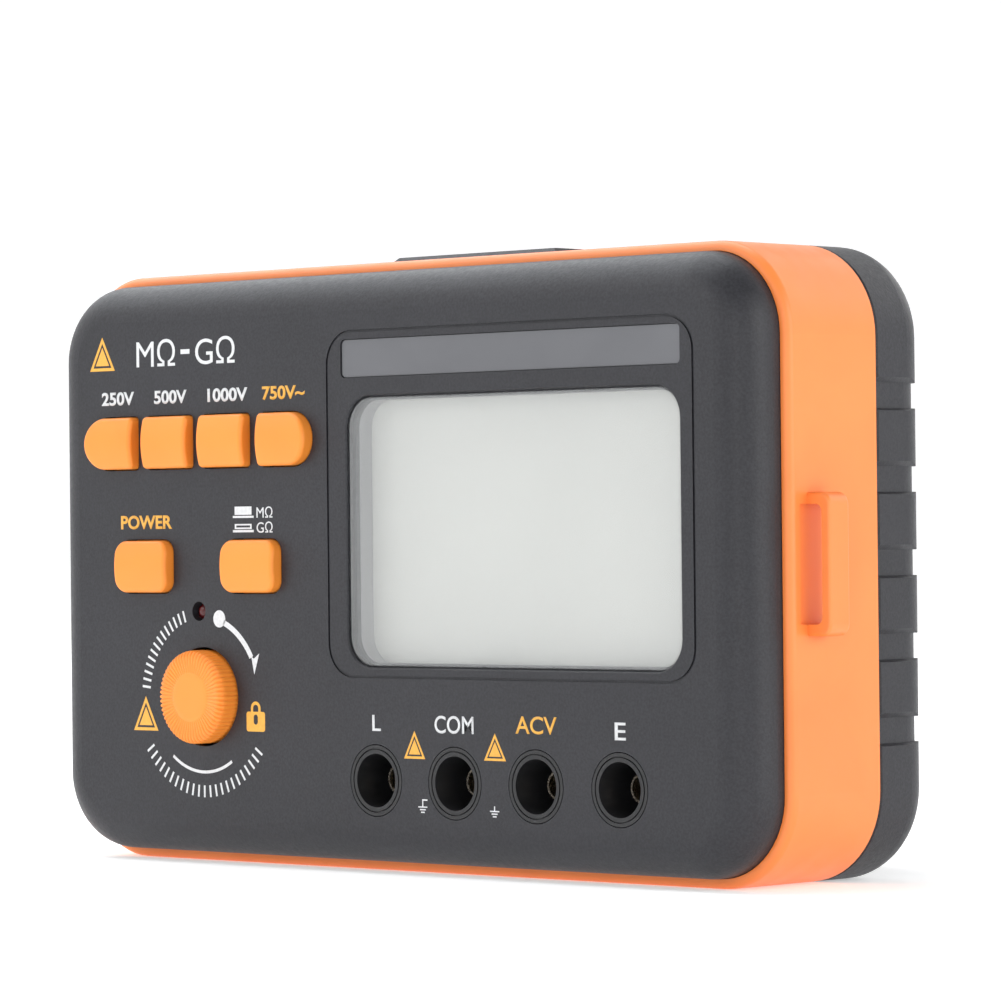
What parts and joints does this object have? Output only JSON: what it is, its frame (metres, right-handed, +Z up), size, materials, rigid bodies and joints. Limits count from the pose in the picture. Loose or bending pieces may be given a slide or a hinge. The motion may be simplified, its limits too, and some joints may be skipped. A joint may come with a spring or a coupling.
{
  "type": "insulation resistance tester",
  "caption": "Hand-held insulation resistance tester with a wide display, push keys, a press-and-turn test knob, shrouded sockets, strap lugs and a rear battery bay.",
  "frame": {"origin": "middle of the bounding box in X and Y, on the surface that the tester stands on", "axes": "+X to the right of a person reading the panel, -Y out of the panel, +Z up; the long lower edge is down"},
  "size_m": [0.1696, 0.0706, 0.1018],
  "materials": {
    "dark_case": "fine spark-eroded grain, low sheen",
    "orange_case": "smooth satin moulding",
    "orange_key": "smooth satin moulding, slightly glossier than the case",
    "grey_strip": "smooth printed film",
    "clear_lens": "clear moulded acrylic",
    "light_grey": "moulded, satin",
    "lcd": "unlit reflective liquid-crystal panel",
    "black_plastic": "moulded, satin",
    "board": "solder-masked glass-fibre board",
    "can": "sleeved aluminium can",
    "brass": "nickel-washed turned brass",
    "steel": "zinc-plated steel",
    "cell": "plain wrapped steel can",
    "red_lens": "unlit dark red diffuser",
    "rubber": "soft moulded rubber"
  },
  "bodies": {
    "case": {"front_cover": "dark_case", "rear_cover": "dark_case", "middle_band": "orange_case", "label_strip": "grey_strip", "display_window": "clear_lens", "lcd_frame": "light_grey", "lcd_panel": "lcd", "zebra_strips": "light_grey", "display_board": "board", "main_board": "board", "socket_board": "board", "pin_header": "black_plastic", "board_spacers": "black_plastic", "transformer": "black_plastic", "capacitors": "can", "buzzer": "black_plastic", "measuring_chip": "black_plastic", "voltage_switch_bank": "black_plastic", "power_switch": "black_plastic", "range_switch": "black_plastic", "test_switch": "black_plastic", "test_lamp": "red_lens", "battery_tray": "black_plastic", "battery_springs": "steel", "battery_plates": "steel", "case_screws": "steel", "rear_feet": "rubber", "socket_shroud_l": "black_plastic", "socket_contact_l": "brass", "socket_shroud_com": "black_plastic", "socket_contact_com": "brass", "socket_shroud_acv": "black_plastic", "socket_contact_acv": "brass", "socket_shroud_e": "black_plastic", "socket_contact_e": "brass", "aa_cell_1": "cell", "aa_cell_2": "cell", "aa_cell_3": "cell", "aa_cell_4": "cell", "aa_cell_5": "cell", "aa_cell_6": "cell"},
    "voltage_key_1": {"voltage_key_1": "orange_key"},
    "voltage_key_2": {"voltage_key_2": "orange_key"},
    "voltage_key_3": {"voltage_key_3": "orange_key"},
    "voltage_key_4": {"voltage_key_4": "orange_key"},
    "power_key": {"power_key": "orange_key"},
    "range_key": {"range_key": "orange_key"},
    "test_spindle": {"knob_spindle": "black_plastic"},
    "test_knob": {"test_knob": "orange_key"},
    "battery_door": {"battery_door": "dark_case", "door_screws": "steel"}
  },
  "joints": [
    {"name": "voltage_key_1_press", "type": "slide", "parent": "case", "child": "voltage_key_1", "axis": [0, 1, 0], "range_m": [0, 0.0019], "stiffness_N_per_m": 600},
    {"name": "voltage_key_2_press", "type": "slide", "parent": "case", "child": "voltage_key_2", "axis": [0, 1, 0], "range_m": [0, 0.0019], "stiffness_N_per_m": 600},
    {"name": "voltage_key_3_press", "type": "slide", "parent": "case", "child": "voltage_key_3", "axis": [0, 1, 0], "range_m": [0, 0.0019], "stiffness_N_per_m": 600},
    {"name": "voltage_key_4_press", "type": "slide", "parent": "case", "child": "voltage_key_4", "axis": [0, 1, 0], "range_m": [0, 0.0019], "stiffness_N_per_m": 600},
    {"name": "power_key_press", "type": "slide", "parent": "case", "child": "power_key", "axis": [0, 1, 0], "range_m": [0, 0.0019], "stiffness_N_per_m": 600},
    {"name": "range_key_press", "type": "slide", "parent": "case", "child": "range_key", "axis": [0, 1, 0], "range_m": [0, 0.0019], "stiffness_N_per_m": 600},
    {"name": "test_press", "type": "slide", "parent": "case", "child": "test_spindle", "axis": [0, 1, 0], "range_m": [0, 0.002], "stiffness_N_per_m": 900},
    {"name": "test_turn", "type": "hinge", "parent": "test_spindle", "child": "test_knob", "pos_m": [-0.0413, -0.03185, 0.02825], "axis": [0, 1, 0], "range_deg": [0, 90]},
    {"name": "door_lift_off", "type": "slide", "parent": "case", "child": "battery_door", "axis": [0, 1, 0], "range_m": [0, 0.03]}
  ]
}
